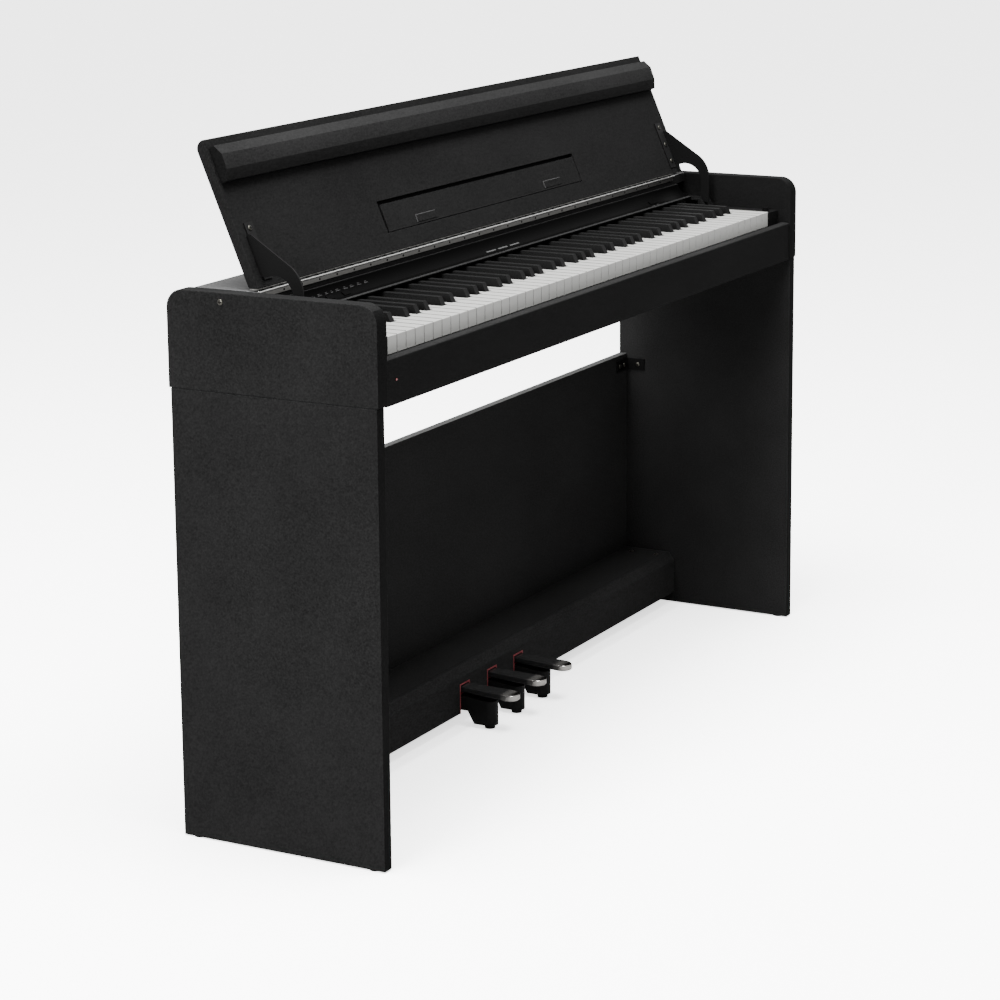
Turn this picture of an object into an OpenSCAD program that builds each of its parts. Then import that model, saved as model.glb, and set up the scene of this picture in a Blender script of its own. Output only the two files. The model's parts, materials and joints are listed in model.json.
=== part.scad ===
// Compact digital piano on its own panel stand, lid open.
// Origin: middle of the footprint on the floor. +X treble end, +Y back, +Z up.

/* [Case] */
// Overall width over the end panels
body_w = 1350; // [1310:1:1620]
// Overall depth of the upper end panels
body_d = 320; // [300:1:390]
// Height of the case top above the floor
case_top = 750; // [700:1:900]
// Height of the stand, floor to the underside of the case
stand_h = 618; // [515:1:640]
// Thickness of the upper end panels
cheek_t = 24; // [18:0.5:26]
// Radius of the end panels' upper corners
cheek_r = 25; // [5:1:30]
// Thickness of the case boards
board_t = 15; // [12:0.5:18]
// Height of the front board's top edge above the underside of the case
front_board_h = 59; // [50:1:65]
// How far the end panels reach back past the top board
rear_overhang = 29; // [5:1:40]

/* [Lid] */
// Angle of the open lid from the vertical
lid_lean = 23; // [10:1:30]
// Width of the lid board along the treble-bass direction, less than the case inside
lid_side_gap = 5; // [2:0.5:10]
// Length of the lid board from the hinge to its free edge
lid_len = 210; // [190:1:220]
// Thickness of the lid board
lid_t = 14; // [12:0.5:18]
// Radius of the free edge on the outer face
lid_edge_r = 12; // [2:0.5:12]
// Height of the moulded rail on the lid's inner face
rail_h = 16.5; // [10:0.5:20]
// Width of the moulded rail
rail_w = 49; // [40:0.5:60]
// Distance from the free edge of the lid to the rail
rail_inset = 12; // [8:0.5:15]
// Depth of the top board, hinge line to its back edge
top_board_d = 98; // [85:1:140]
// Radius of the hinge knuckles
knuckle_r = 2.3; // [2:0.1:2.6]
// Radius of the hinge pin
hinge_pin_r = 1; // [0.8:0.05:1.2]

/* [Music rest] */
// Width of the folding music rest
rest_w = 589; // [400:1:800]
// Height of the folding music rest
rest_h = 40.5; // [30:0.5:44]
// Thickness of the folding music rest
rest_t = 5.5; // [4:0.1:6]
// Height of the music rest's hinge line above the lid hinge
rest_low = 34.5; // [28:0.5:36]
// Angle through which the music rest folds out
rest_open = 80; // [45:1:82]

/* [Keys] */
// Pitch of the white keys
key_pitch = 23.5; // [22:0.1:23.8]
// Gap between neighbouring white keys
key_gap = 1; // [0.8:0.1:1.5]
// Length of a white key in front of the black keys
key_head = 48; // [45:0.5:55]
// Height of the white key tops above the underside of the case
key_top_h = 81; // [78:0.5:85]
// Height of a white key's front face
key_front_h = 24; // [18:0.5:25]
// Rise of the black keys above the white keys
sharp_rise = 11.5; // [9:0.5:12]
// Width of a black key at its foot
sharp_w = 11; // [9:0.5:11.5]
// Distance from the front of the white keys to their pivot rod
key_pivot_d = 210; // [190:1:215]
// Travel of a white key's front edge
key_dip = 10; // [8:0.5:11]
// Radius of the key pivot rod
key_rod_r = 2.5; // [2:0.1:3]

/* [Stand] */
// Thickness of the stand's side panels
leg_t = 18; // [15:0.5:24]
// Setback of the side panels behind the front of the case
leg_front_set = 2; // [0:0.5:10]
// Setback of the side panels ahead of the back of the case
leg_rear_set = 3; // [0:0.5:10]
// Height of the back panel's top edge
back_top = 432; // [300:1:480]
// Thickness of the back panel
back_t = 14; // [12:0.5:18]
// Height of the pedal shelf's top face
shelf_top_z = 90; // [84:1:100]
// Height of the pedal shelf's lower edge
shelf_low_z = 19; // [12:0.5:22]
// Depth of the pedal shelf in front of the back panel
shelf_d = 91.5; // [85:0.5:110]

/* [Pedals] */
// Distance between pedal centres
pedal_pitch = 85; // [60:1:120]
// Width of a pedal
pedal_w = 25.4; // [20:0.2:30]
// Width of a pedal's rounded nose
pedal_nose_w = 31; // [26:0.5:36]
// Length of a pedal in front of the shelf
pedal_reach = 92; // [70:1:110]
// Thickness of a pedal
pedal_t = 9; // [6:0.5:10]
// Height of a pedal's top where it leaves the shelf
pedal_z = 62; // [58:0.5:64]
// Angle of a full pedal stroke
pedal_stroke = 3.5; // [2:0.1:5]
// Radius of the pedal pivot rod
pedal_rod_r = 4; // [3:0.1:4.5]

/* [Controls] */
// Distance between the small panel buttons
button_pitch = 40; // [24:1:60]
// Width of a panel button
button_w = 16; // [10:0.5:20]
// Travel of a button
button_travel = 1; // [0.5:0.1:1.5]

/* [Hidden] */
$fn = 48;

front = -body_d / 2;
rear = body_d / 2;
in_w = body_w / 2 - cheek_t;
leg_in = body_w / 2 - leg_t;
case_low = stand_h;
board_top = case_low + board_t;
fit = 0.3;

// Lid hinge: the axis is a knuckle above the front top edge of the top board
top_rear = rear - rear_overhang;
hinge_leaf_t = 1.2;
knuckle_back = 0.3;
axis_y = top_rear - top_board_d - knuckle_r - knuckle_back;
axis_z = case_top + 0.5;
top_front = axis_y + knuckle_r + knuckle_back;
lid_leaf_low = knuckle_r - 0.8;
lid_leaf_high = lid_leaf_low + hinge_leaf_t;
leaf_drop = 8.5;
lid_half = in_w - lid_side_gap;
lid_back_h = -3;

// Hinge runs from the bass end panel to just short of the treble stay arm
hinge_x0 = -in_w + 1;
knuckle_len = 11;
knuckle_n = floor((2 * in_w - 39) / knuckle_len);
hinge_x1 = hinge_x0 + knuckle_n * knuckle_len;
knuckle_gap = 0.5;
hinge_fit = 0.05;

// Stay arms: flat goosenecks screwed to the lid, just inside the end panels
arm_x = in_w - 21;
arm_t = 3;
flange_w = 22;
flange_t = 2;

// Keyboard
white_n = 52;
keys_x0 = -white_n * key_pitch / 2;
key_y0 = front + 23;
key_top = case_low + key_top_h;
key_t = 12;
sharp_y0 = key_y0 + key_head + 1;
pivot_y = key_y0 + key_pivot_d;
pivot_z = key_top - key_t / 2;
key_tail = 12;
key_end = pivot_y + key_tail;
rod_fit = 0.05;
press_angle = asin(key_dip / key_pivot_d);
mid_white = 23;
sharp_letters = [0, 1, 3, 4, 5];

// Control panel: a concave strip between the keys and the top board
panel_lip_z = key_top + 16.5;
panel_r = case_top - board_t + 5 - panel_lip_z;
panel_lip_y = top_front - panel_r - 4;
panel_t = 2.5;
panel_half = keys_x0 + white_n * key_pitch + 7;

// Pedal shelf
shelf_rear = rear - leg_rear_set - back_t;
shelf_front = shelf_rear - shelf_d;
felt_lining = 2;
slot_w = pedal_w + 2 * felt_lining + 1.2;
slot_top = pedal_z + 3;
pedal_pivot_y = shelf_rear - 32;
pedal_pivot_z = 50;
pedal_slope = 2;
pedal_tip_y = shelf_front - pedal_reach;

function letter(i) = (i + 5) % 7;
function ce_slot() = 3 * key_pitch / 5;
function fb_slot() = 4 * key_pitch / 7;
function cut_left(n) = n < 3 ? n * (2 * ce_slot() - key_pitch) : (n - 3) * (2 * fb_slot() - key_pitch);
function cut_right(n) = n < 3 ? (n + 1) * key_pitch - (2 * n + 1) * ce_slot()
  : (n - 2) * key_pitch - (2 * (n - 3) + 1) * fb_slot();
function white_x(i) = keys_x0 + i * key_pitch;
function has_sharp(i) = i < white_n - 1 && len(search(letter(i), sharp_letters)) > 0;
function sharp_x(i) = white_x(i + 1) - cut_right(letter(i)) + (letter(i) < 3 ? ce_slot() : fb_slot()) / 2;
function arc(cy, cz, r, a0, a1, n) = [for (k = [0:n]) [cy + r * cos(a0 + (a1 - a0) * k / n), cz + r * sin(a0 + (a1 - a0) * k / n)]];

// Extrudes a (y, z) outline along X
module along_x(x0, x1) {
  translate([x0, 0, 0]) rotate([90, 0, 90]) linear_extrude(x1 - x0) children();
}

// Puts (s, h) lid coordinates in place: s along the open lid, h out of its inner side
module lid_frame() {
  translate([0, axis_y, axis_z]) rotate([90 - lid_lean, 0, 0]) children();
}

module box(x0, x1, y0, y1, z0, z1) {
  translate([x0, y0, z0]) cube([x1 - x0, y1 - y0, z1 - z0]);
}

module both_ends() {
  children();
  mirror([1, 0, 0]) children();
}

// Cylinder along X
module rod_x(x0, x1, y, z, r) {
  translate([x0, y, z]) rotate([0, 90, 0]) cylinder(r = r, h = x1 - x0);
}

// ---- Case ----

module cheek_outline() {
  low = case_low;
  polygon(concat(
    [[front, low], [rear, low]],
    arc(rear - cheek_r, case_top - cheek_r, cheek_r, 0, 90, 12),
    arc(front + cheek_r, case_top - cheek_r, cheek_r, 90, 180, 12)
  ));
}

module side_panel_left() {
  color([0.11, 0.11, 0.11]) along_x(-body_w / 2, -in_w) cheek_outline();
}

module side_panel_right() {
  color([0.11, 0.11, 0.11]) along_x(in_w, body_w / 2) cheek_outline();
}

speaker_x = 400;
speaker_w = 130;
speaker_d = 56;
speaker_y = front + 208;

module bottom_board() {
  color([0.1, 0.1, 0.1]) difference() {
    box(-in_w, in_w, front + leg_front_set + board_t, top_rear - board_t, case_low, board_top);
    for (side = [-1, 1]) {
      box(side * speaker_x - speaker_w / 2, side * speaker_x + speaker_w / 2,
        speaker_y - speaker_d / 2, speaker_y + speaker_d / 2, case_low - 1, board_top + 1);
    }
  }
}

lamp_x = -body_w / 2 + 49;
lamp_z = case_low + 30;
lamp_r = 1.6;

edge_r = 3;

module front_board() {
  y0 = front + leg_front_set;
  y1 = y0 + board_t + 1.5;
  top = case_low + front_board_h;
  color([0.1, 0.1, 0.1]) difference() {
    along_x(-in_w, in_w) polygon(concat(
      [[y0, case_low - 2], [y0 + board_t, case_low - 2], [y0 + board_t, board_top + 2], [y1, board_top + 2]],
      arc(y1 - edge_r, top - edge_r, edge_r, 0, 90, 5),
      arc(y0 + edge_r, top - edge_r, edge_r, 90, 180, 5)
    ));
    translate([lamp_x, front, lamp_z]) rotate([-90, 0, 0]) cylinder(r = lamp_r, h = 30);
  }
}

module power_lamp() {
  color([0.9, 0.1, 0.1]) translate([lamp_x, front + leg_front_set - 0.6, lamp_z])
    rotate([-90, 0, 0]) cylinder(r = lamp_r, h = board_t + 0.6);
}

// Pockets under the top board let the stay arms swing back when the lid shuts
module top_board() {
  color([0.13, 0.13, 0.13]) difference() {
    box(-in_w, in_w, top_front, top_rear, case_top - board_t, case_top);
    both_ends() box(arm_x - arm_t - 3, arm_x + 3, top_front + 8, arm_reach + 3, case_top - board_t - 1, case_top - 4);
  }
}

socket_x = [-560, -520, -470];
socket_r = 4;
socket_z = case_low + 50;

module rear_cover() {
  color([0.09, 0.09, 0.09]) difference() {
    box(-in_w, in_w, top_rear - board_t, top_rear, case_low, case_top - board_t);
    for (x = socket_x) {
      translate([x, top_rear + 1, socket_z]) rotate([90, 0, 0]) cylinder(r = socket_r + 2, h = board_t + 2);
    }
  }
}

module rear_sockets() {
  color([0.2, 0.2, 0.2]) for (x = socket_x) {
    translate([x, top_rear - 0.5, socket_z]) rotate([90, 0, 0]) difference() {
      union() {
        cylinder(r = socket_r + 2, h = board_t - 0.5);
        translate([0, 0, board_t - 0.5]) cylinder(r = socket_r + 4, h = 14);
      }
      translate([0, 0, -1]) cylinder(r = socket_r, h = 21);
    }
  }
}

// Concave strip: horizontal at its front lip, steep where it meets the top board
module panel_outline() {
  cz = panel_lip_z + panel_r;
  polygon(concat(
    arc(panel_lip_y, cz, panel_r, -90, -12, 12),
    [[top_front - 1, case_top - board_t], [top_front + 16, case_top - board_t]],
    [[top_front + 16, case_top - board_t - panel_t], [top_front + 1, case_top - board_t - panel_t]],
    arc(panel_lip_y, cz, panel_r + panel_t, -14, -90, 12)
  ));
}

button_angle = -55;
button_y = panel_lip_y + panel_r * cos(button_angle);
button_z = panel_lip_z + panel_r + panel_r * sin(button_angle);
button_x0 = -panel_half + 120;
power_x = panel_half - 120;
button_d = 7;

// Local frame of the panel where a button sits, +Z out of the panel
module on_panel(x) {
  translate([x, button_y, button_z]) rotate([button_angle + 90, 0, 0]) children();
}

module button_cut(x, w) {
  on_panel(x) translate([-w / 2 - fit, -button_d / 2 - fit, -8]) cube([w + 2 * fit, button_d + 2 * fit, 16]);
}

module button_body(x, w) {
  on_panel(x) translate([-w / 2, -button_d / 2, -4]) cube([w, button_d, 5.2]);
}

module control_panel() {
  color([0.05, 0.05, 0.05]) difference() {
    along_x(-panel_half, panel_half) panel_outline();
    button_cut(button_x0, button_w);
    button_cut(button_x0 + button_pitch, button_w);
    button_cut(power_x, button_w + 8);
  }
}

module voice_button() {
  color([0.2, 0.2, 0.2]) button_body(button_x0, button_w);
}

module metronome_button() {
  color([0.2, 0.2, 0.2]) button_body(button_x0 + button_pitch, button_w);
}

module power_button() {
  color([0.6, 0.6, 0.6]) button_body(power_x, button_w + 8);
}

// End block beside the keys, with a slotted cover over the stay arm's path
block_x0 = -keys_x0 + 6;
block_top = key_top - 2;
cover_top = panel_lip_z - 3;
slot_half = arm_t / 2 + 2.5;

module key_block() {
  difference() {
    along_x(block_x0, in_w) polygon([
      [key_y0, board_top], [key_y0, block_top], [key_y0 + 114, block_top], [key_y0 + 126, cover_top],
      [top_front - 4, cover_top], [top_front - 4, cover_top - 2.5], [key_y0 + 129, cover_top - 2.5],
      [key_y0 + 129, board_top]
    ]);
    box(arm_x - arm_t / 2 - slot_half, arm_x - arm_t / 2 + slot_half, arm_leg_y - 4, rear, cover_top - 45, cover_top + 5);
  }
}

module key_blocks() {
  color([0.04, 0.04, 0.04]) both_ends() key_block();
}

// Round buffers that the shut lid's rail comes down on
bumper_y = key_y0 + 14;
bumper_h = 6;

module lid_bumpers() {
  color([0.15, 0.15, 0.15]) both_ends() translate([block_x0 + 16, bumper_y, block_top]) cylinder(r = 5, h = bumper_h);
}

// ---- Lid ----

module lid_outline() {
  outer = lid_back_h - lid_t;
  foot_in = (lid_leaf_high - lid_back_h * sin(lid_lean)) / cos(lid_lean);
  foot_out = (lid_leaf_high - outer * sin(lid_lean)) / cos(lid_lean);
  polygon(concat(
    [[foot_in, lid_back_h], [lid_len, lid_back_h]],
    arc(lid_len - lid_edge_r, outer + lid_edge_r, lid_edge_r, 0, -90, 10),
    [[foot_out, outer]]
  ));
}

// Folding music rest lies in a pocket in the lid's inner face
rest_fit = 4;
groove = 2.5;
groove_deep = 4;
rest_axis_s = rest_low;
rest_axis_h = lid_back_h - rest_t / 2 + 0.4;
rest_pin_r = 1.5;
rest_pin_len = 9;
foot_r = rest_t / 2;

// (s, h) outline extruded along X in the lid's frame
module lid_s_h(x0, x1) {
  translate([0, axis_y, axis_z]) rotate([90 - lid_lean, 0, 0]) along_x(x0, x1) children();
}

module lid() {
  color([0.13, 0.13, 0.13]) difference() {
    lid_s_h(-lid_half, lid_half) lid_outline();
    lid_s_h(-rest_w / 2 - rest_fit, rest_w / 2 + rest_fit)
      translate([rest_axis_s - foot_r - 0.6, lid_back_h - rest_t - 0.6])
      square([rest_h + foot_r + groove + 0.6, rest_t + 10]);
    lid_s_h(-rest_w / 2 - rest_fit, rest_w / 2 + rest_fit)
      translate([rest_axis_s + rest_h - foot_r - 2, lid_back_h - rest_t - groove_deep])
      square([foot_r + groove + 2, rest_t + 10]);
    lid_s_h(-rest_w / 2 - rest_pin_len, rest_w / 2 + rest_pin_len)
      translate([rest_axis_s, rest_axis_h]) circle(r = rest_pin_r);
  }
}

module lid_rail() {
  s1 = lid_len - rail_inset;
  s0 = s1 - rail_w;
  h0 = lid_back_h;
  color([0.14, 0.14, 0.14]) lid_s_h(-lid_half + 6, lid_half - 6) polygon([
    [s0, h0], [s0, h0 + rail_h * 0.6], [s0 + rail_w * 0.3, h0 + rail_h * 0.95],
    [s1 - rail_w * 0.28, h0 + rail_h], [s1, h0 + rail_h * 0.55], [s1, h0]
  ]);
}

module music_rest() {
  color([0.14, 0.14, 0.14]) difference() {
    lid_s_h(-rest_w / 2, rest_w / 2) union() {
      translate([rest_axis_s, rest_axis_h]) circle(r = foot_r);
      translate([rest_axis_s, rest_axis_h - rest_t / 2]) square([rest_h - foot_r, rest_t]);
    }
    for (side = [-1, 1]) {
      lid_s_h(side * (rest_w / 2 + 1) - (side > 0 ? rest_pin_len : 0), side * (rest_w / 2 + 1) + (side > 0 ? 0 : rest_pin_len))
        translate([rest_axis_s, rest_axis_h]) circle(r = rest_pin_r + rod_fit);
    }
  }
}

module music_rest_pivots() {
  color([0.7, 0.7, 0.7]) for (side = [-1, 1]) {
    mid = side * rest_w / 2;
    lid_s_h(mid - rest_pin_len + 2, mid + rest_pin_len - 2)
      translate([rest_axis_s, rest_axis_h]) circle(r = rest_pin_r);
  }
}

// Continuous hinge: even knuckles belong to the fixed leaf, odd ones to the lid leaf
module knuckles(first) {
  for (k = [first:2:knuckle_n - 1]) {
    x0 = hinge_x0 + k * knuckle_len;
    rod_x(x0 + knuckle_gap / 2, x0 + knuckle_len - knuckle_gap / 2, axis_y, axis_z, knuckle_r);
  }
}

module knuckle_gaps(first) {
  for (k = [first:2:knuckle_n - 1]) {
    x0 = hinge_x0 + k * knuckle_len;
    box(x0 - knuckle_gap / 2, x0 + knuckle_len + knuckle_gap / 2, axis_y - 4, axis_y + knuckle_r + 0.6, axis_z - knuckle_r - 0.6, axis_z + knuckle_r + 0.6);
  }
}

hinge_screw_n = floor(knuckle_n / 4);
function hinge_screw_x(k) = hinge_x0 + knuckle_len * (1.5 + 4 * k);

module hinge_fixed_leaf() {
  color([0.75, 0.75, 0.74]) difference() {
    union() {
      difference() {
        box(hinge_x0, hinge_x1, top_front - hinge_leaf_t, top_front, axis_z - leaf_drop, axis_z);
        knuckle_gaps(1);
      }
      knuckles(0);
    }
    rod_x(hinge_x0 - 1, hinge_x1 + 1, axis_y, axis_z, hinge_pin_r + hinge_fit);
  }
}

module hinge_lid_leaf() {
  color([0.75, 0.75, 0.74]) difference() {
    union() {
      difference() {
        box(hinge_x0, hinge_x1 - knuckle_gap / 2, axis_y + 0.6, axis_y + 15, axis_z + lid_leaf_low, axis_z + lid_leaf_high);
        knuckle_gaps(0);
      }
      knuckles(1);
    }
    rod_x(hinge_x0 - 1, hinge_x1 + 1, axis_y, axis_z, hinge_pin_r + hinge_fit);
  }
}

module hinge_pin() {
  color([0.8, 0.8, 0.8]) rod_x(hinge_x0, hinge_x1, axis_y, axis_z, hinge_pin_r);
}

// Gooseneck outline in (y, z), drawn with the lid open
arm_neck_y = axis_y - 11;
arm_outer_r = 42;
arm_inner_r = 28;
arm_leg_y = arm_neck_y - arm_outer_r;
arm_leg_low = axis_z - 44;
arm_top_s = 76;
arm_reach = axis_y + norm([axis_y - arm_leg_y, axis_z - arm_leg_low]);

function lid_pt(s, h) = [axis_y + s * sin(lid_lean) - h * cos(lid_lean), axis_z + s * cos(lid_lean) + h * sin(lid_lean)];

module arm_outline() {
  face = lid_back_h;
  polygon(concat(
    [[arm_leg_y, arm_leg_low]],
    arc(arm_neck_y, axis_z - 2.5, arm_outer_r, 180, 124, 10),
    [lid_pt(arm_top_s - 1.5, face + 7.5), lid_pt(arm_top_s, face + 5), lid_pt(arm_top_s, face + 2)],
    [lid_pt(arm_top_s - 2, face), lid_pt(18, face)],
    arc(arm_neck_y, axis_z - 9.5, arm_inner_r, 66, 180, 16),
    [[arm_neck_y - arm_inner_r, arm_leg_low]]
  ));
}

module stay_arm() {
  along_x(arm_x - arm_t, arm_x) arm_outline();
  lid_s_h(arm_x - flange_w, arm_x - arm_t) translate([14, lid_back_h]) square([78, flange_t]);
}

module arm_screw_holes(grow, deep) {
  for (s = [84, 54, 25]) {
    lid_frame() translate([arm_x - flange_w / 2, s, lid_back_h - deep]) cylinder(r = 2 + grow, h = deep + flange_t + 1);
  }
}

module stay_arms() {
  color([0.06, 0.06, 0.06]) both_ends() stay_arm();
}

module arm_screws() {
  color([0.7, 0.7, 0.7]) both_ends() for (s = [84, 54, 25]) {
    lid_frame() translate([arm_x - flange_w / 2 - 1, s, lid_back_h + flange_t]) cylinder(r1 = 4, r2 = 2.4, h = 2);
  }
}

// ---- Keyboard ----

module rod_bore() {
  rod_x(keys_x0 - 20, -keys_x0 + 20, pivot_y, pivot_z, key_rod_r + rod_fit);
}

module white_key(i) {
  g = key_gap / 2;
  left = i == 0 ? 0 : cut_left(letter(i));
  right = i == white_n - 1 ? 0 : cut_right(letter(i));
  translate([white_x(i), 0, 0]) difference() {
    union() {
      translate([0, 0, key_top - key_t]) linear_extrude(key_t) union() {
        translate([g, key_y0]) square([key_pitch - key_gap, key_head]);
        translate([left + g, key_y0]) square([key_pitch - key_gap - left - right, key_end - key_y0]);
      }
      box(g, key_pitch - g, key_y0, key_y0 + 3, key_top - key_front_h, key_top);
    }
    rod_x(-1, key_pitch + 1, pivot_y, pivot_z, key_rod_r + rod_fit);
  }
}

module black_key(i) {
  foot = key_top - key_t + 1;
  top = key_top + sharp_rise;
  half = sharp_w / 2;
  translate([sharp_x(i), 0, 0]) difference() {
    translate([0, key_end, 0]) rotate([90, 0, 0]) linear_extrude(key_end - sharp_y0)
      polygon([[-half, foot], [half, foot], [half, key_top], [half - 0.9, top], [0.9 - half, top], [-half, key_top]]);
    translate([-half - 1, sharp_y0, key_top - 1]) rotate([-27, 0, 0]) translate([0, -20, 0]) cube([sharp_w + 2, 20, 30]);
    rod_x(-half - 1, half + 1, pivot_y, pivot_z, key_rod_r + rod_fit);
  }
}

module whites(from, to) {
  color([0.82, 0.82, 0.82]) for (i = [from:to]) white_key(i);
}

module blacks(from, to) {
  color([0.1, 0.1, 0.1]) for (i = [from:to]) if (has_sharp(i)) black_key(i);
}

module white_keys_low() { whites(0, mid_white - 1); }
module black_keys_low() { blacks(0, mid_white - 1); }
module white_keys_high() { whites(mid_white + 7, white_n - 1); }
module black_keys_high() { blacks(mid_white + 7, white_n - 1); }
module key_c4() { whites(mid_white, mid_white); }
module key_c_sharp4() { blacks(mid_white, mid_white); }
module key_d4() { whites(mid_white + 1, mid_white + 1); }
module key_d_sharp4() { blacks(mid_white + 1, mid_white + 1); }
module key_e4() { whites(mid_white + 2, mid_white + 2); }
module key_f4() { whites(mid_white + 3, mid_white + 3); }
module key_f_sharp4() { blacks(mid_white + 3, mid_white + 3); }
module key_g4() { whites(mid_white + 4, mid_white + 4); }
module key_g_sharp4() { blacks(mid_white + 4, mid_white + 4); }
module key_a4() { whites(mid_white + 5, mid_white + 5); }
module key_a_sharp4() { blacks(mid_white + 5, mid_white + 5); }
module key_b4() { whites(mid_white + 6, mid_white + 6); }

// Height of a key's underside at full press, at a distance from the pivot rod
function pressed_z(y, low) = pivot_z + (low - pivot_z) * cos(press_angle) - (pivot_y - y) * sin(press_angle);

front_rail_y = key_y0 + 12;
sharp_rail_y = sharp_y0 + 6;
dome_y = key_y0 + 120;
felt_t = 3;
end_w = -keys_x0 + 1;
chassis_t = 3;
white_stop = pressed_z(front_rail_y, key_top - key_t) - 0.3;
sharp_stop = pressed_z(sharp_rail_y, key_top - key_t + 1) - 0.3;
dome_h = 8;
white_dome = pressed_z(dome_y - 4, key_top - key_t) - 0.3;
pcb_top = white_dome - dome_h;
pcb_t = 1.6;

module key_frame() {
  color([0.45, 0.46, 0.47]) difference() {
    union() {
      box(-end_w, end_w, key_y0 + 8, key_end, board_top, board_top + chassis_t);
      box(-end_w, end_w, front_rail_y, front_rail_y + 24, board_top, white_stop - felt_t);
      box(-end_w, end_w, sharp_rail_y, sharp_rail_y + 14, board_top, sharp_stop - felt_t - 4);
      for (y = [dome_y - 22, dome_y + 18]) box(-end_w, end_w, y, y + 3, board_top, pcb_top - pcb_t);
      both_ends() box(end_w - 0.5, end_w + 3.5, key_y0 + 8, key_end + 4, board_top, pivot_z + 6);
    }
    for (side = [-1, 1]) {
      box(side * speaker_x - speaker_w / 2 + 4, side * speaker_x + speaker_w / 2 - 4,
        speaker_y - speaker_d / 2 + 4, speaker_y + speaker_d / 2 - 4, board_top - 1, board_top + chassis_t + 1);
    }
    rod_x(-end_w - 5, end_w + 5, pivot_y, pivot_z, key_rod_r);
  }
}

module key_pivot_rod() {
  color([0.75, 0.75, 0.75]) rod_x(-end_w - 3.5, end_w + 3.5, pivot_y, pivot_z, key_rod_r);
}

module key_felts() {
  color([0.55, 0.1, 0.1]) {
    box(-end_w + 1, end_w - 1, front_rail_y + 1, front_rail_y + 23, white_stop - felt_t + 0.02, pressed_z(front_rail_y, key_top - key_t) - 0.3);
    box(-end_w + 1, end_w - 1, sharp_rail_y + 1, sharp_rail_y + 13, sharp_stop - felt_t - 3.98, min(sharp_stop, pressed_z(sharp_rail_y, key_top - key_t) - 0.3));
  }
}

// Key contact board, then the main board and amplifier board inside the rear cover
module circuit_boards() {
  color([0.1, 0.35, 0.15]) {
    box(-end_w + 2, end_w - 2, dome_y - 22, dome_y + 21, pcb_top - pcb_t, pcb_top);
    box(-590, -430, top_rear - board_t - 18, top_rear - board_t - 16.4, board_top, board_top + 40);
    box(-300, -120, top_rear - board_t - 18, top_rear - board_t - 16.4, board_top, board_top + 60);
  }
}

module rubber_domes() {
  color([0.3, 0.3, 0.32]) {
    for (i = [0:white_n - 1]) {
      mid = white_x(i) + key_pitch / 2 + (i == 0 ? 0 : cut_left(letter(i)) / 2) - (i == white_n - 1 ? 0 : cut_right(letter(i)) / 2);
      translate([mid, dome_y, pcb_top]) cylinder(r = 4, h = dome_h - 0.3);
    }
    for (i = [0:white_n - 2]) if (has_sharp(i)) {
      translate([sharp_x(i), dome_y, pcb_top]) cylinder(r = 4, h = dome_h - 0.3);
    }
  }
}

// ---- Electronics and speakers ----

module speakers() {
  low = board_top + chassis_t;
  color([0.2, 0.2, 0.2]) for (side = [-1, 1]) {
    difference() {
      union() {
        box(side * speaker_x - speaker_w / 2 - 8, side * speaker_x + speaker_w / 2 + 8,
          speaker_y - speaker_d / 2 - 8, speaker_y + speaker_d / 2 + 8, low, low + 3);
        translate([side * speaker_x, speaker_y, low]) cylinder(r = 28, h = 14);
      }
      translate([side * speaker_x, speaker_y, low - 1]) cylinder(r1 = 26, r2 = 12, h = 12);
    }
  }
}

module speaker_grilles() {
  color([0.08, 0.08, 0.08]) for (side = [-1, 1]) difference() {
    box(side * speaker_x - speaker_w / 2, side * speaker_x + speaker_w / 2,
      speaker_y - speaker_d / 2, speaker_y + speaker_d / 2, case_low + 1, case_low + 4);
    for (x = [-54:12:54]) box(side * speaker_x + x - 2.5, side * speaker_x + x + 2.5,
      speaker_y - speaker_d / 2 + 6, speaker_y + speaker_d / 2 - 6, case_low, case_low + 5);
  }
}

// ---- Stand ----

glide_h = 1.5;

module leg() {
  box(leg_in, body_w / 2, front + leg_front_set, rear - leg_rear_set, glide_h, stand_h);
}

module leg_left() {
  color([0.12, 0.12, 0.12]) mirror([1, 0, 0]) leg();
}

module leg_right() {
  color([0.12, 0.12, 0.12]) leg();
}

module floor_glides() {
  color([0.2, 0.2, 0.2]) both_ends() for (y = [front + 22, rear - 23]) {
    translate([body_w / 2 - leg_t / 2, y, 0]) cylinder(r = 8, h = glide_h);
  }
}

module back_panel() {
  color([0.11, 0.11, 0.11]) box(-leg_in, leg_in, shelf_rear, shelf_rear + back_t, shelf_low_z, back_top);
}

shelf_t = 14;
shelf_front_t = 15;
bevel_y = 10;
bevel_z = 14;
pedal_xs = [-pedal_pitch, 0, pedal_pitch];

// Front board of the pedal shelf, slotted from below for the pedals
module pedal_board_front() {
  back = shelf_front + shelf_front_t;
  color([0.11, 0.11, 0.11]) difference() {
    along_x(-leg_in, leg_in) polygon([
      [shelf_front, shelf_low_z], [back, shelf_low_z], [back, shelf_top_z],
      [shelf_front + bevel_y, shelf_top_z], [shelf_front, shelf_top_z - bevel_z]
    ]);
    for (x = pedal_xs) box(x - slot_w / 2, x + slot_w / 2, shelf_front - 1, back + 1, shelf_low_z - 1, slot_top);
  }
}

module pedal_board_top() {
  color([0.11, 0.11, 0.11]) box(-leg_in, leg_in, shelf_front + shelf_front_t, shelf_rear, shelf_top_z - shelf_t, shelf_top_z);
}

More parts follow.
